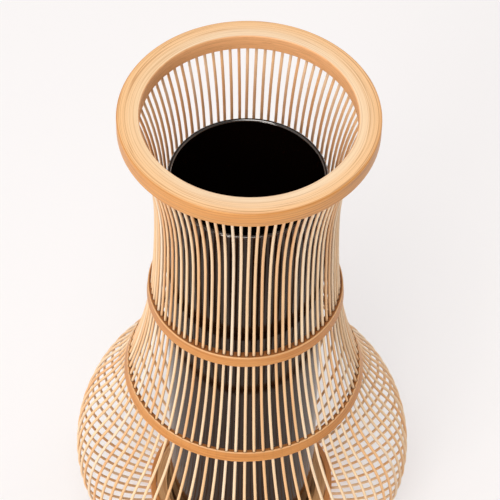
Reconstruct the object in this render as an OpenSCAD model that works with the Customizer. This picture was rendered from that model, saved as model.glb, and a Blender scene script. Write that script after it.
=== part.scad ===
// Bamboo flower vase: a cage of round splints drilled through bent hoops, round a water tube.
// The origin is at the middle of the foot, on the surface that the vase stands on, in millimetres.
// A splint is one rod from the mouth ring to the base hoop, bent in arcs that run smoothly on.

/* [Mouth ring] */
// Height of the vase, from the table to the top of the mouth ring
vase_h = 337; // [325:1:350]
// Outer radius of the mouth ring
mouth_r = 70; // [67:0.5:73]
// Width of the mouth ring, from its inner to its outer edge
mouth_w = 11.8; // [9:0.2:13]
// Height of the mouth ring
mouth_h = 10.2; // [8.5:0.1:12]
// Rounding of the mouth ring's outer edges
mouth_outer_round = 2.6; // [1:0.1:3.5]
// Rounding of the mouth ring's inner edges
mouth_inner_round = 0.9; // [0.5:0.1:2]

/* [Neck hoop] */
// Outer radius of the neck hoop
neck_hoop_r = 55.8; // [54.5:0.1:57]
// Width of the neck hoop, from its inner to its outer face
neck_hoop_w = 5; // [4:0.1:6]
// Height of the neck hoop's band
neck_hoop_h = 7.1; // [5:0.1:9]
// Height of the middle of the neck hoop above the table
neck_hoop_z = 195; // [185:1:205]

/* [Shoulder hoop] */
// Outer radius of the shoulder hoop
shoulder_hoop_r = 69.4; // [68:0.1:72]
// Width of the shoulder hoop, from its inner to its outer face
shoulder_hoop_w = 3.2; // [3:0.1:5]
// Height of the shoulder hoop's band
shoulder_hoop_h = 6.4; // [5.5:0.1:8.5]
// Height of the middle of the shoulder hoop above the table
shoulder_hoop_z = 124.4; // [120:0.2:134]

/* [Hoop finish] */
// Rounding of the edges of the neck, shoulder and base hoops
hoop_round = 0.5; // [0.4:0.1:1.2]

/* [Base] */
// Width of the base hoop, from its inner to its outer face
base_hoop_w = 3.6; // [3:0.1:4.6]
// Height of the base hoop's band
base_hoop_h = 7.4; // [6:0.1:9]
// How far the bottom board sits above the table
foot_recess = 0.8; // [0.4:0.1:1.4]
// Thickness of the bottom board
bottom_board_t = 2.4; // [1.5:0.1:3]
// Thickness of the collar that keeps the water tube upright
collar_t = 4; // [2:0.1:5]
// Width of the collar, from its hole to its outer edge
collar_w = 6.6; // [5:0.1:9]
// Rounding of the collar's upper edges
collar_round = 0.6; // [0.3:0.1:0.9]
// Play between the boards and the base hoop round them
board_play = 0.2; // [0.1:0.05:0.4]

/* [Water tube] */
// Outer radius of the water tube
tube_r = 44.2; // [41:0.1:45]
// Wall of the water tube
tube_wall = 2.6; // [1.4:0.1:3]
// Floor of the water tube
tube_floor = 2.6; // [1.6:0.1:4]
// Height of the water tube
tube_h = 284.4; // [260:1:295]
// Rounding of the water tube's foot
tube_foot_round = 3; // [1:0.1:4]
// Play between the water tube and the collar round its foot
tube_play = 1.6; // [0.6:0.1:2.4]
// Height at which the water tube rests above the bottom board
tube_rest = 0.2; // [0.1:0.05:0.3]

/* [Splints] */
// How many splints stand round the vase
splint_count = 80; // [64:16:96]
// Diameter of a splint
splint_d = 1.7; // [1.6:0.1:2.2]
// Turn of the first splint from the middle of the front, in degrees
first_turn = 1.5; // [0:0.1:4]
// How deep a splint stands in the mouth ring
mouth_seat = 6; // [4:0.1:7]
// How deep a splint stands in the base hoop
base_seat = 2.8; // [2.2:0.1:3]
// Play of a splint in its drilled hole, all round
hole_play = 0.15; // [0.1:0.01:0.25]

/* [Body curve] */
// Radius of the circle of splints where the neck is narrowest
neck_r = 50.4; // [49:0.2:52]
// Height of the narrowest part of the neck
neck_z = 260; // [250:1:270]
// Radius of the circle of splints where the belly is widest
belly_r = 99.7; // [95:0.5:105]
// Height of the widest part of the belly
belly_z = 48.5; // [44:0.5:54]
// Reach of the bend above the widest part of the belly, over that of the arc before it
upper_reach = 1.21; // [1:0.01:1.4]
// Reach of the arc under the vase, over that of the tight bend below the belly
lower_reach = 7.4; // [6:0.1:9]
// Lean of a splint where it enters the base hoop, in degrees from straight down
base_lean = 81.5; // [76:0.5:86]

/* [Hidden] */
GROUP_COUNT = 16;
RINGS_AND_BOARDS = ["mouth_ring", "neck_hoop", "shoulder_hoop", "base_hoop", "base_collar", "bottom_board", "water_tube"];

// Colours of the bamboo and the tube
SKIN_COLOUR = [0.87, 0.64, 0.38];
MOUTH_COLOUR = [0.95, 0.80, 0.60];
BOARD_COLOUR = [0.76, 0.56, 0.36];
SPLINT_COLOUR = [0.93, 0.78, 0.58];
TUBE_COLOUR = [0.07, 0.065, 0.065];

// Smoothness of the big rings, of a splint's section and of small roundings
RING_FN = 120;
ROD_FN = 24;
EDGE_FN = 32;
// How far a drill or a cutter runs past what it cuts
OVERRUN = 3;

splint_r = splint_d / 2;
per_group = splint_count / GROUP_COUNT;
splint_pitch = 360 / splint_count;
// Every second arc of a splint is this much thicker in radius, so that its neighbours enter its end faces
arc_step = splint_d * 0.015;
// How far the thinner arcs reach into the thicker ones
arc_lap = splint_d * 0.3;
// Room past a splint's end in a blind hole
end_room = hole_play * 2;

// The base is built outwards from the water tube
collar_hole_r = tube_r + tube_play;
board_r = collar_hole_r + collar_w;
base_hoop_r = board_r + board_play + base_hoop_w;
board_top = foot_recess + bottom_board_t;
tube_foot_z = board_top + tube_rest;

// Points on the middle line of a splint, as [distance from the vase's axis, height]
mouth_point = [mouth_r - mouth_w / 2, vase_h - mouth_h + mouth_seat / 2];
neck_point = [neck_r, neck_z];
neck_hoop_point = [neck_hoop_r - neck_hoop_w / 2, neck_hoop_z];
shoulder_point = [shoulder_hoop_r - shoulder_hoop_w / 2, shoulder_hoop_z];
belly_point = [belly_r, belly_z];
base_point = [base_hoop_r - base_hoop_w / 2, base_hoop_h / 2];

// A heading is the way down along a splint, in degrees from straight down, positive outwards.
// An arc is [centre, radius, first heading, last heading]: it turns outwards if its heading grows.
function across(heading) = [cos(heading), sin(heading)];
function down_along(heading) = [sin(heading), -cos(heading)];
function heading_between(p, q) = atan2(q[0] - p[0], p[1] - q[1]);
function turning(arc) = sign(arc[3] - arc[2]);
function arc_from(p, q, first, last) =
    let (r = norm(q - p) / (2 * sin(abs(last - first) / 2)))
    [p + sign(last - first) * r * across(first), r, first, last];
function arc_with_first(p, q, first) = arc_from(p, q, first, 2 * heading_between(p, q) - first);
function arc_with_last(p, q, last) = arc_from(p, q, 2 * heading_between(p, q) - last, last);

// Two arcs that run smoothly from p to q: their tangents meet at two corners, and reach is
// the second arc's tangent length over the first one's
function arc_pair(p, q, first, last, reach) =
    let (
        line = q - p,
        along = line * (down_along(first) + reach * down_along(last)),
        turned = 2 * reach * (1 - down_along(first) * down_along(last)),
        tangent = line * line / (along + sqrt(along ^ 2 + turned * (line * line))),
        first_corner = p + tangent * down_along(first),
        last_corner = q - reach * tangent * down_along(last),
        meeting = (reach * first_corner + last_corner) / (1 + reach),
        heading = heading_between(first_corner, last_corner)
    )
    [arc_from(p, meeting, first, heading), arc_from(meeting, q, heading, last)];

// From the mouth to the neck, to the neck hoop and to the shoulder hoop
mouth_arc = arc_with_last(mouth_point, neck_point, 0);
neck_arc = arc_with_first(neck_point, neck_hoop_point, 0);
waist_arc = arc_with_first(neck_hoop_point, shoulder_point, neck_arc[3]);

// From the shoulder hoop to the belly, and from the belly to the base hoop
shoulder_heading = waist_arc[3];
upper_arcs = arc_pair(shoulder_point, belly_point, shoulder_heading, 0, upper_reach);
lower_arcs = arc_pair(belly_point, base_point, 0, -base_lean, lower_reach);

splint_arcs = concat([mouth_arc, neck_arc, waist_arc], upper_arcs, lower_arcs);
last_arc = len(splint_arcs) - 1;

function group_name(g) = str("splints_", g < 10 ? "0" : "", g);
function degrees_along(length, radius) = length / radius * 180 / PI;

// One arc of a splint, lengthened at its upper and lower ends
module splint_arc(arc, thickness, more_above, more_below) {
    turn = turning(arc);
    above = turn * degrees_along(more_above, arc[1]);
    below = turn * degrees_along(more_below, arc[1]);
    first_angle = arc[2] + (turn > 0 ? 180 : 0) - above;
    translate([arc[0][0], 0, arc[0][1]])
        rotate([90, 0, 0])
            rotate([0, 0, first_angle])
                rotate_extrude(angle = arc[3] - arc[2] + above + below, $fn = RING_FN)
                    translate([arc[1], 0])
                        circle(r = thickness, $fn = ROD_FN);
}

// A whole splint, standing over the positive X axis
module splint() {
    union() {
        for (i = [0 : last_arc]) {
            thicker = i % 2 == 1;
            lap = thicker ? 0 : arc_lap;
            above = i == 0 ? mouth_seat / 2 : lap;
            below = i == last_arc ? base_seat - base_hoop_w / 2 : lap;
            splint_arc(splint_arcs[i], splint_r + (thicker ? arc_step : 0), above, below);
        }
    }
}

// Puts its children at each splint from number first to number last, counted from the front
module at_splints(first, last) {
    for (i = [first : last])
        rotate([0, 0, first_turn - 90 + i * splint_pitch])
            children();
}

// The hole for one splint, drilled along it at a point on its middle line
module splint_hole(point, heading, above, below) {
    translate([point[0], 0, point[1]])
        rotate([0, -heading, 0])
            translate([0, 0, -below])
                cylinder(r = splint_r + hole_play, h = above + below, $fn = ROD_FN);
}

// Section of a ring whose outer and inner edges are rounded, standing on height 0
module ring_section(inner_r, outer_r, height, inner_round, outer_round) {
    middle = (inner_r + outer_r) / 2;
    rounded_half(inner_r, middle, height, inner_round, 1);
    rounded_half(middle, outer_r, height, outer_round, -1);
}

// Half of that section: side is 1 where its edge at first_r is round, -1 where that at last_r is
module rounded_half(first_r, last_r, height, edge_round, side) {
    edge = side > 0 ? first_r : last_r;
    difference() {
        translate([first_r, 0])
            square([last_r - first_r, height]);
        for (up = [0, 1])
            translate([edge + side * edge_round, up * height + (1 - 2 * up) * edge_round])
                corner_waste(edge_round, -side, 2 * up - 1);
    }
}

// What rounding takes off a corner that points to x_side and y_side of the rounding's centre
module corner_waste(edge_round, x_side, y_side) {
    difference() {
        scale_x = x_side * (edge_round + 1);
        scale_y = y_side * (edge_round + 1);
        polygon([[0, 0], [scale_x, 0], [scale_x, scale_y], [0, scale_y]]);
        circle(r = edge_round, $fn = EDGE_FN);
    }
}

module bent_ring(outer_r, width, height, inner_round, outer_round) {
    rotate_extrude($fn = RING_FN)
        ring_section(outer_r - width, outer_r, height, inner_round, outer_round);
}

// A hoop that leans with the splints, with one of them through the middle of every hole
module drilled_hoop(width, height, point, heading) {
    difference() {
        rotate_extrude($fn = RING_FN)
            translate(point)
                rotate(heading)
                    translate([0, -height / 2])
                        ring_section(-width / 2, width / 2, height, hoop_round, hoop_round);
        at_splints(0, splint_count - 1)
            splint_hole(point, heading, height / 2 + OVERRUN, height / 2 + OVERRUN);
    }
}

// Thick bent ring at the mouth, with a blind hole for the top of each splint
module mouth_ring() {
    color(MOUTH_COLOUR)
        difference() {
            translate([0, 0, vase_h - mouth_h])
                bent_ring(mouth_r, mouth_w, mouth_h, mouth_inner_round, mouth_outer_round);
            at_splints(0, splint_count - 1)
                splint_hole(mouth_point, mouth_arc[2], mouth_seat / 2 + end_room, mouth_seat / 2 + OVERRUN);
        }
}

module neck_hoop() {
    color(SKIN_COLOUR)
        drilled_hoop(neck_hoop_w, neck_hoop_h, neck_hoop_point, neck_arc[3]);
}

module shoulder_hoop() {
    color(SKIN_COLOUR)
        drilled_hoop(shoulder_hoop_w, shoulder_hoop_h, shoulder_point, shoulder_heading);
}

// Hoop that the vase stands on, with a blind hole in its outer face for the foot of each splint
module base_hoop() {
    tip = base_seat - base_hoop_w / 2;
    color(SKIN_COLOUR)
        difference() {
            bent_ring(base_hoop_r, base_hoop_w, base_hoop_h, hoop_round, hoop_round);
            at_splints(0, splint_count - 1)
                splint_hole(base_point, -base_lean, base_hoop_w / 2 + OVERRUN, tip + end_room);
        }
}

// Wooden ring on the bottom board, which keeps the foot of the water tube in the middle
module base_collar() {
    color(BOARD_COLOUR)
        translate([0, 0, board_top])
            difference() {
                cylinder(r = board_r, h = collar_t, $fn = RING_FN);
                translate([0, 0, -OVERRUN])
                    cylinder(r = collar_hole_r, h = collar_t + 2 * OVERRUN, $fn = RING_FN);
                rotate_extrude($fn = RING_FN)
                    translate([collar_hole_r + collar_round, collar_t - collar_round])
                        corner_waste(collar_round, -1, 1);
                rotate_extrude($fn = RING_FN)
                    translate([board_r - collar_round, collar_t - collar_round])
                        corner_waste(collar_round, 1, 1);
            }
}

// Round board that closes the base and carries the water tube
module bottom_board() {
    color(BOARD_COLOUR)
        translate([0, 0, foot_recess])
            cylinder(r = board_r, h = bottom_board_t, $fn = RING_FN);
}

// Straight tube with a floor and a round lip, which lifts out through the neck
module water_tube() {
    lip = tube_wall / 2;
    straight = tube_h - lip;
    color(TUBE_COLOUR)
        translate([0, 0, tube_foot_z])
            rotate_extrude($fn = RING_FN) {
                difference() {
                    square([tube_r, straight]);
                    translate([-OVERRUN, tube_floor])
                        square([tube_r - tube_wall + OVERRUN, straight]);
                    translate([tube_r - tube_foot_round, tube_foot_round])
                        corner_waste(tube_foot_round, 1, -1);
                }
                intersection() {
                    translate([tube_r - lip, straight])
                        circle(r = lip, $fn = EDGE_FN);
                    translate([tube_r - tube_wall, straight])
                        square([tube_wall, lip]);
                }
            }
}

// A sixteenth of the splints, each a rod of its own
module splint_group(g) {
    color(SPLINT_COLOUR)
        at_splints((g - 1) * per_group, g * per_group - 1)
            splint();
}

mouth_ring();
neck_hoop();
shoulder_hoop();
base_hoop();
base_collar();
bottom_board();
water_tube();
for (g = [1 : GROUP_COUNT])
    splint_group(g);
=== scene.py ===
# Bamboo flower vase: the looks of a cage of bent splints, drilled hoops and a black water tube.
import math
import random

import bpy
from mathutils import Euler, Matrix, Vector


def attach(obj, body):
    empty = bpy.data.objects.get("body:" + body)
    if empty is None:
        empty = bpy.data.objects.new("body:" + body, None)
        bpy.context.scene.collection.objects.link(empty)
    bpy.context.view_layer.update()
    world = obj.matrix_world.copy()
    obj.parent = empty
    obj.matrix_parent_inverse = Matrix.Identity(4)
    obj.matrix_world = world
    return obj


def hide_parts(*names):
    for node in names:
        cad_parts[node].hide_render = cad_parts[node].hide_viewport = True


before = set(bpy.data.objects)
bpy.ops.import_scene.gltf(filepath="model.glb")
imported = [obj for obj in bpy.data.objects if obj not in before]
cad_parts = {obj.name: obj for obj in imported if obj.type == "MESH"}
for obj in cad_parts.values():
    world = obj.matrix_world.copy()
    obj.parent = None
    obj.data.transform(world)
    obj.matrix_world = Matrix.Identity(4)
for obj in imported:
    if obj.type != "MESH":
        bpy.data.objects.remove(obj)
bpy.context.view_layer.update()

# Sizes in metres and headings in degrees
# The mouth ring is a little larger than in the part's source, and the rest is the same
VASE_H = 0.337
MOUTH_R = 0.0704
MOUTH_W = 0.0122
MOUTH_H = 0.0102
MOUTH_ROUND = 0.001
NECK_HOOP_POINT = Vector((0.0533, 0, 0.195))
SHOULDER_POINT = Vector((0.0678, 0, 0.1244))
MOUTH_POINT = Vector((0.0641, 0, 0.3298))
NECK_POINT = Vector((0.0504, 0, 0.260))
BELLY_POINT = Vector((0.0997, 0, 0.0485))
BASE_POINT = Vector((0.0544, 0, 0.0037))
UPPER_REACH = 1.21
LOWER_REACH = 7.4
BASE_LEAN = 81.5
SPLINT_R = 0.00085
SPLINT_COUNT = 80
SPLINTS_PER_NODE = 5
FIRST_TURN = 1.5

# How far the ends of the splints that are seen reach into the mouth ring and the base hoop
MOUTH_SEAT = 0.003
BASE_SEAT = 0.001

# In millimetres, for the finishes
RING_INSIDE = 58.2
RING_OUTSIDE = 70.4
NECK_HOOP_WIDTH = 5.0
NECK_HOOP_HEIGHT = 7.1
SHOULDER_HOOP_WIDTH = 3.2
SHOULDER_HOOP_HEIGHT = 6.4
TUBE_R = 44.2
LIP_CREST = 42.9
LIP_TOP = 287.8

# How finely the new pieces are made
SPLINT_SIDES = 10
STEP_TURN = 3.2
STEP_LENGTH = 0.011
LINE_STEPS = 24
RING_STEPS = 180
RING_EDGE_STEPS = 5
SMOOTH_ANGLE = 40
SMALLEST_GAP = 0.00001

# How far a hand-bent splint may stray to either side, for each stretch between two rings
BOW_MOST = (0.00030, 0.00012, 0.00045, 0)
WAVE_MOST = (0.00012, 0, 0.00020, 0)

# How much thinner or thicker than the usual splint it may be, as a share
THINNEST = -0.045
THICKEST = 0.02

# The camera stands where the photo was taken from
CAMERA_PLACE = (0, -0.98007, 1.37558)
CAMERA_TURN = (40.4522, -0.8758, 0.9039)
CAMERA_LENS = 194.4

# The lamps' colour, and the point that they all face
LAMP_WHITE = (1.0, 0.985, 0.965)
LIT_POINT = (0, 0, 0.2)


def across(heading):
    """Direction across a splint whose heading is given in degrees from straight down."""
    turn = math.radians(heading)
    return Vector((math.cos(turn), 0, math.sin(turn)))


def down_along(heading):
    """Direction along a splint of that heading, towards its foot."""
    turn = math.radians(heading)
    return Vector((math.sin(turn), 0, -math.cos(turn)))


def heading_between(p, q):
    """Heading of the straight line from p down to q."""
    return math.degrees(math.atan2(q.x - p.x, p.z - q.z))


def arc_from(p, q, first, last):
    """An arc from p to q as its centre, radius, first heading and last heading."""
    radius = (q - p).length / (2 * math.sin(math.radians(abs(last - first) / 2)))
    side = math.copysign(1, last - first)
    return (p + side * radius * across(first), radius, first, last)


def arc_pair(p, q, first, last, reach):
    """Two arcs that run smoothly from p to q, as in the part's source."""
    line = q - p
    along = line.dot(down_along(first) + reach * down_along(last))
    turned = 2 * reach * (1 - down_along(first).dot(down_along(last)))
    tangent = line.dot(line) / (along + math.sqrt(along ** 2 + turned * line.dot(line)))
    first_corner = p + tangent * down_along(first)
    last_corner = q - reach * tangent * down_along(last)
    meeting = (reach * first_corner + last_corner) / (1 + reach)
    heading = heading_between(first_corner, last_corner)
    return [arc_from(p, meeting, first, heading), arc_from(meeting, q, heading, last)]


def splint_arcs():
    """The seven arcs of a splint, from the mouth ring to the base hoop."""
    first = 2 * heading_between(MOUTH_POINT, NECK_POINT)
    mouth = arc_from(MOUTH_POINT, NECK_POINT, first, 0)
    neck_last = 2 * heading_between(NECK_POINT, NECK_HOOP_POINT)
    neck = arc_from(NECK_POINT, NECK_HOOP_POINT, 0, neck_last)
    waist_last = 2 * heading_between(NECK_HOOP_POINT, SHOULDER_POINT) - neck_last
    waist = arc_from(NECK_HOOP_POINT, SHOULDER_POINT, neck_last, waist_last)
    upper = arc_pair(SHOULDER_POINT, BELLY_POINT, waist_last, 0, UPPER_REACH)
    lower = arc_pair(BELLY_POINT, BASE_POINT, 0, -BASE_LEAN, LOWER_REACH)
    return [mouth, neck, waist] + upper + lower


# Modelling helpers
def put_down_everything():
    """Nothing stays selected, so that the next step acts on its own piece alone."""
    bpy.ops.object.select_all(action="DESELECT")


def finish_shape(piece, name):
    """Closes up doubles, turns the faces outwards and names the piece."""
    bpy.ops.object.mode_set(mode="EDIT")
    bpy.ops.mesh.select_all(action="SELECT")
    bpy.ops.mesh.remove_doubles(threshold=SMALLEST_GAP)
    bpy.ops.mesh.normals_make_consistent(inside=False)
    bpy.ops.object.mode_set(mode="OBJECT")
    bpy.ops.object.transform_apply(location=True, rotation=True, scale=True)
    bpy.ops.object.shade_smooth_by_angle(angle=math.radians(SMOOTH_ANGLE))
    piece.name = name
    piece.data.name = name
    return piece


def bend_splint():
    """One splint over the X axis: a round end drawn through all its arcs."""
    put_down_everything()
    arcs = splint_arcs()
    centre, radius, first, last = arcs[0]
    side = math.copysign(1, last - first)
    start = first - side * math.degrees(MOUTH_SEAT / radius)
    top = centre - side * radius * across(start)
    bpy.ops.mesh.primitive_circle_add(
        vertices=SPLINT_SIDES, radius=SPLINT_R, location=top, rotation=(0, math.radians(-start), 0)
    )
    splint = bpy.context.object
    bpy.ops.object.transform_apply(location=True, rotation=True, scale=True)
    bpy.ops.object.mode_set(mode="EDIT")
    bpy.ops.mesh.select_all(action="SELECT")
    bpy.ops.mesh.edge_face_add()
    bpy.ops.mesh.select_mode(type="EDGE")
    bpy.ops.mesh.select_all(action="SELECT")
    for number, (centre, radius, first, last) in enumerate(arcs):
        begin = start if number == 0 else first
        end = last
        if number == len(arcs) - 1:
            end = last + math.copysign(math.degrees(BASE_SEAT / radius), last - first)
        turn = end - begin
        length = radius * abs(math.radians(turn))
        steps = max(3, round(abs(turn) / STEP_TURN), round(length / STEP_LENGTH))
        bpy.ops.mesh.spin(
            steps=steps, angle=math.radians(abs(turn)), center=centre,
            axis=(0, 1, 0) if turn > 0 else (0, -1, 0),
        )
    bpy.ops.mesh.edge_face_add()
    bpy.ops.object.mode_set(mode="OBJECT")
    return finish_shape(splint, "splint_master")


def turn_mouth_ring():
    """The mouth ring: a strip of rounded section that runs round the vase's axis."""
    put_down_everything()
    bpy.ops.mesh.primitive_plane_add(
        size=1, location=(MOUTH_R - MOUTH_W / 2, 0, VASE_H - MOUTH_H / 2), rotation=(math.radians(90), 0, 0)
    )
    ring = bpy.context.object
    ring.scale = (MOUTH_W, MOUTH_H, 1)
    bpy.ops.object.transform_apply(location=True, rotation=True, scale=True)
    bpy.ops.object.mode_set(mode="EDIT")
    bpy.ops.mesh.select_mode(type="VERT")
    bpy.ops.mesh.select_all(action="SELECT")
    bpy.ops.mesh.bevel(offset=MOUTH_ROUND, segments=RING_EDGE_STEPS, affect="VERTICES")
    bpy.ops.mesh.select_all(action="SELECT")
    bpy.ops.mesh.subdivide(number_cuts=1)
    bpy.ops.mesh.select_all(action="SELECT")
    bpy.ops.mesh.delete(type="ONLY_FACE")
    bpy.ops.mesh.select_all(action="SELECT")
    bpy.ops.mesh.spin(steps=RING_STEPS, angle=math.radians(360), center=(0, 0, 0), axis=(0, 0, 1))
    bpy.ops.object.mode_set(mode="OBJECT")
    return finish_shape(ring, "mouth_ring_bent")


def middle_line():
    """Points down the middle of a splint with their distance from its top."""
    points = []
    walked = 0
    arcs = splint_arcs()
    for number, (centre, radius, first, last) in enumerate(arcs):
        side = math.copysign(1, last - first)
        begin = first - side * math.degrees(MOUTH_SEAT / radius) if number == 0 else first
        end = last + side * math.degrees(BASE_SEAT / radius) if number == len(arcs) - 1 else last
        for step in range(LINE_STEPS + 1):
            heading = begin + (end - begin) * step / LINE_STEPS
            at = centre - side * radius * across(heading)
            if points:
                walked += (at - points[-1][0]).length
            points.append((at, walked, heading))
    return points


LINE = middle_line()


def nearest_on_line(point):
    """The place on a splint's middle line that is nearest to a point of its skin."""
    return min(LINE, key=lambda entry: (entry[0].x - point.x) ** 2 + (entry[0].z - point.z) ** 2)


def mark_splint(splint):
    """Writes how far each point lies along the splint and round it, for its grain.

    Gives back the place on the middle line that belongs to each point.
    """
    middles = []
    along = splint.data.attributes.new("along", "FLOAT", "POINT")
    round_x = splint.data.attributes.new("round_x", "FLOAT", "POINT")
    round_y = splint.data.attributes.new("round_y", "FLOAT", "POINT")
    for vertex in splint.data.vertices:
        at, walked, heading = nearest_on_line(vertex.co)
        out = (vertex.co - at).dot(across(heading))
        along.data[vertex.index].value = walked
        round_x.data[vertex.index].value = out / SPLINT_R
        round_y.data[vertex.index].value = vertex.co.y / SPLINT_R
        middles.append((at, walked))
    return middles


def held_at(points):
    """Distances along a splint at which a ring holds it."""
    return [min(LINE, key=lambda entry: (entry[0] - point).length)[1] for point in points]


HELD = [0.0] + held_at([NECK_HOOP_POINT, SHOULDER_POINT, BASE_POINT]) + [LINE[-1][1] + 0.001]


def strayed(walked, bows, waves):
    """How far a hand-bent splint lies to the side, that far along it."""
    for span, (bow, wave) in enumerate(zip(bows, waves)):
        if HELD[span] <= walked <= HELD[span + 1]:
            share = (walked - HELD[span]) / (HELD[span + 1] - HELD[span])
            to_side = bow * math.sin(math.pi * share) ** 2
            return to_side + wave * math.sin(2 * math.pi * share) * math.sin(math.pi * share)
    return 0


def place_splint(master, middles, number, chance):
    """A copy of the splint at its place round the vase, with the small bow of a hand-bent one."""
    splint = master.copy()
    splint.data = master.data.copy()
    bpy.context.scene.collection.objects.link(splint)
    bows = [chance.uniform(-most, most) if most else 0 for most in BOW_MOST]
    waves = [chance.uniform(-most, most) if most else 0 for most in WAVE_MOST]
    thick = chance.uniform(THINNEST, THICKEST)
    shade = chance.random()
    tone = splint.data.attributes.new("tone", "FLOAT", "POINT")
    for vertex, (at, walked) in zip(splint.data.vertices, middles):
        to_side = Vector((0, strayed(walked, bows, waves), 0))
        vertex.co = at + (vertex.co - at) * (1 + thick) + to_side
        tone.data[vertex.index].value = shade
    turn = math.radians(FIRST_TURN - 90 + number * 360 / SPLINT_COUNT)
    splint.data.transform(Matrix.Rotation(turn, 4, "Z"))
    splint.name = f"splint_{number + 1:02d}"
    splint.data.name = splint.name
    return splint


# Shader helpers
class Value:
    """A number that varies over a surface: sums on it add Math nodes."""

    def __init__(self, finish, socket):
        self.finish = finish
        self.socket = socket

    def sum(self, operation, first, second):
        return self.finish.node("ShaderNodeMath", {"operation": operation}, {0: first, 1: second})

    def __add__(self, other):
        return self.sum("ADD", self, other)

    __radd__ = __add__

    def __sub__(self, other):
        return self.sum("SUBTRACT", self, other)

    def __rsub__(self, other):
        return self.sum("SUBTRACT", other, self)

    def __mul__(self, other):
        return self.sum("MULTIPLY", self, other)

    __rmul__ = __mul__

    def __pow__(self, other):
        return self.sum("POWER", self, other)


class Finish:
    """One surface finish: a material, its nodes and its shader."""

    def __init__(self, name):
        self.material = bpy.data.materials.new(name)
        self.material.use_nodes = True
        self.tree = self.material.node_tree
        self.shader = self.tree.nodes["Principled BSDF"]

    def node(self, kind, settings, inputs, output=0):
        """Adds a node and gives back one of its outputs."""
        made = self.tree.nodes.new(kind)
        for key, value in settings.items():
            if key == "stops":
                self.set_stops(made.color_ramp, value)
            else:
                setattr(made, key, value)
        for key, value in inputs.items():
            self.plug(made.inputs[key], value)
        return Value(self, made.outputs[output])

    def set_stops(self, ramp, stops):
        while len(ramp.elements) < len(stops):
            ramp.elements.new(0.5)
        for element, (place, colour) in zip(ramp.elements, stops):
            element.position = place
            element.color = (*colour, 1)

    def plug(self, socket, value):
        if isinstance(value, Value):
            self.tree.links.new(value.socket, socket)
        else:
            socket.default_value = value

    def set(self, **inputs):
        """Sets or links the shader's own sockets."""
        for key, value in inputs.items():
            self.plug(self.shader.inputs[key.replace("_", " ")], value)

    def place(self):
        """Where a spot is in the vase's own frame, in metres."""
        return self.node("ShaderNodeTexCoord", {}, {}, "Object")

    def axes(self, vector):
        split = self.node("ShaderNodeSeparateXYZ", {}, {0: vector})
        return [Value(self, output) for output in split.socket.node.outputs]

    def mark(self, name):
        """A number that was written on the piece's own points."""
        return self.node("ShaderNodeAttribute", {"attribute_name": name}, {}, "Fac")

    def together(self, x, y, z):
        return self.node("ShaderNodeCombineXYZ", {}, {0: x, 1: y, 2: z})

    def grain(self, x, y, z, w, detail=3, roughness=0.55):
        """Soft random streaks: each number says how fast they change that way."""
        vector = self.together(x, y, z)
        return self.node(
            "ShaderNodeTexNoise", {"noise_dimensions": "4D"},
            {"Vector": vector, "W": w, "Scale": 1.0, "Detail": detail, "Roughness": roughness},
        )

    def spread(self, value, low, high, to_low=0.0, to_high=1.0):
        """A soft step: to_low where the value is low, to_high where it is high."""
        return self.node(
            "ShaderNodeMapRange", {"interpolation_type": "SMOOTHSTEP"},
            {0: value, 1: low, 2: high, 3: to_low, 4: to_high},
        )

    def tint(self, factor, first, second):
        """The first colour turning into the second as the factor grows."""
        first = first if isinstance(first, Value) else (*first, 1)
        second = second if isinstance(second, Value) else (*second, 1)
        return self.node(
            "ShaderNodeMix", {"data_type": "RGBA"},
            {0: factor, 6: first, 7: second}, 2,
        )

    def relief(self, height, distance, strength=1.0):
        """Raises the surface by that distance in metres where the height is 1."""
        bump = self.node(
            "ShaderNodeBump", {}, {"Height": height, "Distance": distance, "Strength": strength}
        )
        self.plug(self.shader.inputs["Normal"], bump)


def ring_coordinates(finish):
    """Distance from the vase's axis, height, and the two level directions, in millimetres."""
    x, y, z = finish.axes(finish.place())
    out = (x * x + y * y) ** 0.5
    return out * 1000, z * 1000, x * 1000, y * 1000


def round_holes(finish, out, x, y, over):
    """How near a spot is to a drilled hole: 1 at its rim, 0 where it is 0.75 mm past it."""
    hole = SPLINT_R * 1000 + 0.1
    pitch = 2 * math.pi / SPLINT_COUNT
    round_ring = finish.node("ShaderNodeMath", {"operation": "ARCTAN2"}, {0: y, 1: x})
    aside = finish.node(
        "ShaderNodeMath", {"operation": "WRAP"},
        {0: round_ring - math.radians(FIRST_TURN - 90), 1: pitch / 2, 2: -pitch / 2},
    )
    aside = aside * out
    away = (aside * aside + over * over) ** 0.5
    return finish.spread(away, hole, hole + 0.75, 1.0, 0.0)


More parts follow.
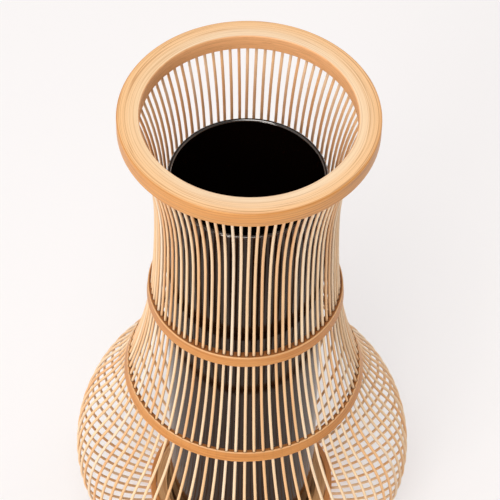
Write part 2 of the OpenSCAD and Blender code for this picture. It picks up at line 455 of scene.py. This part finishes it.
def mouth_bamboo():
    """Thick bent bamboo: pale flesh inside, more orange towards its skin, with fine lines round it, painted
    light across the middle of its top and some painted shade on its inner face.
    """
    finish = Finish("mouth bamboo")
    out, height, x, y = ring_coordinates(finish)
    fine = finish.grain(out * 2.6, height * 2.6, x * 0.020, y * 0.020, 4, 0.62)
    lines = finish.grain(out * 0.95, height * 0.95, x * 0.009, y * 0.009, 1, 0.4)
    thin_lines = finish.grain(out * 2.9, height * 2.9, x * 0.014, y * 0.014, 1, 0.4)
    broad = finish.grain(out * 0.45, height * 0.45, x * 0.012, y * 0.012, 2, 0.5)
    flecks = finish.grain(out * 4.0, height * 4.0, x * 0.16, y * 0.16, 2, 0.5)
    flesh = finish.tint(finish.spread(fine, 0.30, 0.70), (0.84, 0.545, 0.29), (0.93, 0.685, 0.425))
    # Painted light: the flesh is made pale across the middle of the ring, front to back, less so towards the
    # right and not at all at the far left.
    painted_light_band = finish.spread(x, -65, -10) * finish.spread(x, 25, 70, 0.45, 0.20)
    flesh = finish.tint(painted_light_band, flesh, (0.86, 0.72, 0.55))
    under_skin = finish.spread(out + broad * 7, RING_INSIDE + 3.3, RING_OUTSIDE + 3.1)
    flesh = finish.tint(under_skin * 0.80, flesh, (0.88, 0.50, 0.215))
    # The inner face is tinted a deeper orange and gets more dark flecks: partly the bamboo's own colour
    # there, partly painted shade.
    inner_face_tone_and_shade = finish.spread(out, RING_INSIDE + 0.1, RING_INSIDE + 0.8, 1.0, 0.0)
    flesh = finish.tint(inner_face_tone_and_shade * 0.85, flesh, (0.90, 0.43, 0.165))
    skin = finish.tint(finish.spread(fine, 0.32, 0.68), (0.62, 0.235, 0.047), (0.81, 0.39, 0.109))
    rim_line = finish.spread(out + fine * 0.6, RING_OUTSIDE - 1.1, RING_OUTSIDE + 0.1)
    colour = finish.tint(rim_line, flesh, skin)
    off_line = (lines - 0.5) * (lines - 0.5)
    line_mask = finish.spread(off_line, 0.00008, 0.0012, 1.0, 0.0) * (0.22 + under_skin * 0.45)
    colour = finish.tint(line_mask, colour, (0.47, 0.20, 0.060))
    thin_mask = finish.spread(thin_lines, 0.56, 0.64) * (0.22 + under_skin * 0.30)
    colour = finish.tint(thin_mask, colour, (0.52, 0.25, 0.08))
    dark_fleck = finish.spread(flecks, 0.55, 0.70) * (0.08 + inner_face_tone_and_shade * 0.45)
    colour = finish.tint(dark_fleck, colour, (0.42, 0.17, 0.055))
    finish.set(Base_Color=colour, Roughness=0.36 + fine * 0.18)
    finish.set(Coat_Weight=0.08, Coat_Roughness=0.28)
    finish.relief(fine * 0.7 + flecks * 0.3, 0.00007)
    return finish.material


def band_grain(finish, out, height, x, y):
    """Fine and broad streaks that run round a bent band."""
    fine = finish.grain(out * 2.8, height * 2.8, x * 0.025, y * 0.025, 4, 0.62)
    broad = finish.grain(out * 0.3, height * 0.3, x * 0.03, y * 0.03, 2, 0.5)
    return fine, broad


def hoop_bamboo(name, point, heading, width, height_of_band, ledge_shade_depth):
    """A narrow bent band: orange skin outwards, painted shade behind its outer face and round its holes, and
    a painted highlight along its outer top edge.
    """
    finish = Finish(name)
    out, height, x, y = ring_coordinates(finish)
    fine, broad = band_grain(finish, out, height, x, y)
    streaks = finish.grain(out * 1.3, height * 1.3, x * 0.012, y * 0.012, 2, 0.5)
    colour = finish.tint(finish.spread(fine, 0.30, 0.70), (0.48, 0.165, 0.032), (0.71, 0.30, 0.077))
    colour = finish.tint(finish.spread(broad, 0.40, 0.70) * 0.4, colour, (0.75, 0.365, 0.116))
    colour = finish.tint(finish.spread(streaks, 0.55, 0.64) * 0.35, colour, (0.45, 0.145, 0.032))
    lean = across(heading)
    over = (out - point.x * 1000) * lean.x + (height - point.z * 1000) * lean.z
    up = (height - point.z * 1000) * lean.x - (out - point.x * 1000) * lean.z
    # Painted shade: everything behind the outer face, the top ledge between the splints and the inside, is
    # darkened to a deep brown.
    flesh = finish.spread(over + fine * 0.4, width / 2 - 0.65, width / 2 - 0.15, 1.0, 0.0)
    colour = finish.tint(flesh * ledge_shade_depth, colour, (0.24, 0.080, 0.024))
    # Painted highlight: a pale line along the band's outer top edge.
    painted_edge_highlight = finish.spread(up, height_of_band / 2 - 0.9, height_of_band / 2 - 0.3) * (1 - flesh)
    colour = finish.tint(painted_edge_highlight * (0.35 + fine * 0.4), colour, (0.95, 0.62, 0.33))
    # Painted shade: dark rims round the holes where the splints go in.
    rim = round_holes(finish, out, x, y, over)
    colour = finish.tint(rim * (0.72 + broad * 0.45), colour, (0.115, 0.030, 0.008))
    finish.set(Base_Color=colour, Roughness=0.36 + fine * 0.2, Specular_Tint=(1.0, 0.82, 0.64, 1))
    finish.set(Coat_Weight=0.05, Coat_Roughness=0.25)
    finish.relief(fine, 0.00006)
    return finish.material


def base_bamboo():
    """The darker band round the base, its grain running round it."""
    finish = Finish("base hoop bamboo")
    out, height, x, y = ring_coordinates(finish)
    fine, broad = band_grain(finish, out, height, x, y)
    colour = finish.tint(finish.spread(fine, 0.30, 0.70), (0.50, 0.165, 0.032), (0.78, 0.32, 0.080))
    colour = finish.tint(finish.spread(broad, 0.40, 0.70) * 0.4, colour, (0.84, 0.40, 0.125))
    finish.set(Base_Color=colour, Roughness=0.36 + fine * 0.2)
    finish.set(Coat_Weight=0.12, Coat_Roughness=0.25)
    finish.relief(fine, 0.00006)
    return finish.material


def splint_bamboo():
    """Round splints, each of its own tone, with fibres that run along them and painted shade on their inner
    side.
    """
    finish = Finish("splint bamboo")
    along = finish.mark("along")
    round_x = finish.mark("round_x")
    round_y = finish.mark("round_y")
    tone = finish.mark("tone")
    fibre = finish.grain(round_x * 2.2, round_y * 2.2, along * 26, tone * 91, 3, 0.6)
    patch = finish.grain(round_x * 0.5, round_y * 0.5, along * 14, tone * 57 + 9, 2, 0.5)
    shades = [
        (0.0, (0.79, 0.40, 0.175)), (0.14, (0.90, 0.53, 0.26)), (0.36, (0.95, 0.62, 0.335)),
        (0.68, (0.975, 0.735, 0.475)), (1.0, (0.98, 0.83, 0.64)),
    ]
    own = finish.node("ShaderNodeValToRGB", {"stops": shades}, {0: tone * 0.75 + patch * 0.4 - 0.07})
    # Painted shade: each splint's inner side is darkened a little all along, and much more from just below
    # the mouth ring down past the water tube's lip, where it faces the tube.
    inner_side_shade = finish.spread(round_x, -0.2, 0.5, 1.0, 0.0)
    near_lip_shade = finish.spread(along, 0.004, 0.045) * finish.spread(along, 0.07, 0.11, 1.0, 0.0)
    own = finish.tint(inner_side_shade * (0.18 + near_lip_shade * 0.42), own, (0.50, 0.19, 0.065))
    colour = finish.tint(finish.spread(fibre, 0.42, 0.74) * 0.45, own, (0.60, 0.28, 0.10))
    finish.set(Base_Color=colour, Roughness=0.27 + fibre * 0.16)
    finish.set(Specular_IOR_Level=0.42, Specular_Tint=(1.0, 0.88, 0.76, 1))
    finish.relief(fibre, 0.00005)
    return finish.material


def base_wood():
    """Turned wood of the collar and the bottom board."""
    finish = Finish("base wood")
    out, height, x, y = ring_coordinates(finish)
    fine = finish.grain(out * 1.9, height * 1.9, x * 0.03, y * 0.03, 4, 0.6)
    broad = finish.grain(out * 0.3, height * 0.3, x * 0.02, y * 0.02, 2, 0.5)
    colour = finish.tint(finish.spread(fine, 0.30, 0.72), (0.46, 0.20, 0.065), (0.74, 0.42, 0.18))
    colour = finish.tint(finish.spread(broad, 0.4, 0.7) * 0.4, colour, (0.80, 0.50, 0.25))
    finish.set(Base_Color=colour, Roughness=0.45 + fine * 0.2)
    finish.relief(fine, 0.00008)
    return finish.material


def black_lacquer():
    """Glossy black tube: faint draw lines, rubbed places, a lip that is polished by handling, and painted
    shade that makes its inside darker.
    """
    finish = Finish("black tube")
    out, height, x, y = ring_coordinates(finish)
    drawn = finish.grain(x * 0.35, y * 0.35, height * 0.010, 3.0, 2, 0.5)
    rubbed = finish.grain(x * 0.06, y * 0.06, height * 0.05, 8.0, 4, 0.6)
    outside = finish.tint(finish.spread(rubbed, 0.45, 0.75), (0.012, 0.0038, 0.0010), (0.022, 0.0078, 0.0020))
    # Painted shade: the inside of the tube is a darker black than its outside.
    outer_wall = finish.spread(out, TUBE_R - 1.2, TUBE_R - 0.2)
    colour = finish.tint(outer_wall, (0.0028, 0.0012, 0.0007), outside)
    finish.set(Base_Color=colour, Roughness=0.09 + finish.spread(rubbed, 0.4, 0.8) * 0.08)
    finish.set(IOR=1.42, Specular_IOR_Level=0.38, Specular_Tint=(1.0, 0.72, 0.52, 1))
    from_crest = (out - LIP_CREST) * (out - LIP_CREST)
    polished = finish.spread(from_crest, 0.08, 0.25) * finish.spread(height, LIP_TOP - 1.05, LIP_TOP - 0.75)
    finish.set(Coat_Weight=polished, Coat_Roughness=0.08, Coat_IOR=2.0)
    finish.relief(drawn, 0.0002, 0.25)
    return finish.material


def studio_floor():
    """Plain pale floor that the vase stands on."""
    finish = Finish("studio floor")
    x, y, z = finish.axes(finish.place())
    mottle = finish.grain(x * 3, y * 3, z, 1.0, 2, 0.5)
    colour = finish.tint(mottle * 0.3, (0.53, 0.514, 0.508), (0.52, 0.505, 0.499))
    finish.set(Base_Color=colour, Roughness=0.8)
    finish.set(Emission_Color=(1.0, 0.978, 0.990, 1), Emission_Strength=0.412)
    return finish.material


def dress(node_name, material):
    """Gives a CAD node its finish."""
    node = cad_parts[node_name]
    if node.material_slots:
        for held in node.material_slots:
            held.material = material
    else:
        node.data.materials.append(material)


# The camera and the studio
def set_camera():
    """The camera that sees the vase as the photo does, with everything sharp."""
    data = bpy.data.cameras.new("camera")
    data.lens = CAMERA_LENS
    data.sensor_width = 36
    camera = bpy.data.objects.new("camera", data)
    bpy.context.scene.collection.objects.link(camera)
    camera.location = CAMERA_PLACE
    camera.rotation_euler = Euler([math.radians(turn) for turn in CAMERA_TURN])
    data.clip_start = 0.05
    data.clip_end = 30
    bpy.context.scene.camera = camera


def soft_light(name, place, width, height, power):
    """A flat lamp that faces the vase."""
    data = bpy.data.lights.new(name, "AREA")
    data.shape = "RECTANGLE"
    data.size = width
    data.size_y = height
    data.energy = power
    data.color = LAMP_WHITE
    lamp = bpy.data.objects.new(name, data)
    bpy.context.scene.collection.objects.link(lamp)
    lamp.location = place
    lamp.rotation_euler = (Vector(LIT_POINT) - Vector(place)).to_track_quat("-Z", "Y").to_euler()


def set_studio():
    """Soft light from the front above and from the left, with a little from behind."""
    world = bpy.data.worlds.new("studio")
    bpy.context.scene.world = world
    world.use_nodes = True
    nodes = world.node_tree.nodes
    background = nodes["Background"]
    way = nodes.new("ShaderNodeTexCoord")
    shade_side = nodes.new("ShaderNodeVectorMath")
    shade_side.operation = "DOT_PRODUCT"
    shade_side.inputs[1].default_value = (0.50, -0.866, 0)
    sides = nodes.new("ShaderNodeMapRange")
    sides.interpolation_type = "SMOOTHSTEP"
    for key, value in {"From Min": -0.2, "From Max": 1.0, "To Min": 0.70, "To Max": 0.15}.items():
        sides.inputs[key].default_value = value
    world.node_tree.links.new(way.outputs["Generated"], shade_side.inputs[0])
    world.node_tree.links.new(shade_side.outputs["Value"], sides.inputs[0])
    world.node_tree.links.new(sides.outputs[0], background.inputs[1])
    background.inputs[0].default_value = (1.0, 0.985, 0.975, 1)
    soft_light("lamp_above", (-0.3, -1.0, 2.87), 1.3, 1.7, 40)
    soft_light("window_left", (-1.5, -3.05, 1.4), 1.2, 1.2, 44)
    soft_light("window_behind", (1.65, 1.65, 1.1), 1.0, 1.0, 5)
    put_down_everything()
    bpy.ops.mesh.primitive_plane_add(size=6, location=(0, 0, 0))
    floor = bpy.context.object
    floor.name = "studio_floor"
    floor.data.materials.append(studio_floor())
    bpy.context.scene.view_settings.view_transform = "Standard"


def make_splints():
    """All the splints, counted round from the front, each with its own bow and shade."""
    master = bend_splint()
    middles = mark_splint(master)
    master.data.materials.append(splint_bamboo())
    chance = random.Random(41)
    for number in range(SPLINT_COUNT):
        splint = place_splint(master, middles, number, chance)
        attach(splint, "cage")
        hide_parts(f"splints_{number // SPLINTS_PER_NODE + 1:02d}")
    bpy.data.objects.remove(master)


def make_mouth_ring():
    """The mouth ring with its finish, in the place of the plain one."""
    mouth = turn_mouth_ring()
    mouth.data.materials.append(mouth_bamboo())
    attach(mouth, "cage")
    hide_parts("mouth_ring")


def dress_cad_pieces():
    """Finishes for the pieces whose CAD shape stays. A hoop leans as the splints do where they meet."""
    arcs = splint_arcs()
    neck_heading = arcs[1][3]
    shoulder_heading = arcs[2][3]
    # The last number given to each hoop is how deep the painted shade behind its outer face is.
    dress("neck_hoop", hoop_bamboo(
        "neck hoop bamboo", NECK_HOOP_POINT, neck_heading, NECK_HOOP_WIDTH, NECK_HOOP_HEIGHT, 0.80
    ))
    dress("shoulder_hoop", hoop_bamboo(
        "shoulder hoop bamboo", SHOULDER_POINT, shoulder_heading,
        SHOULDER_HOOP_WIDTH, SHOULDER_HOOP_HEIGHT, 0.55
    ))
    dress("base_hoop", base_bamboo())
    wood = base_wood()
    dress("base_collar", wood)
    dress("bottom_board", wood)
    dress("water_tube", black_lacquer())


set_camera()
set_studio()
make_splints()
make_mouth_ring()
dress_cad_pieces()
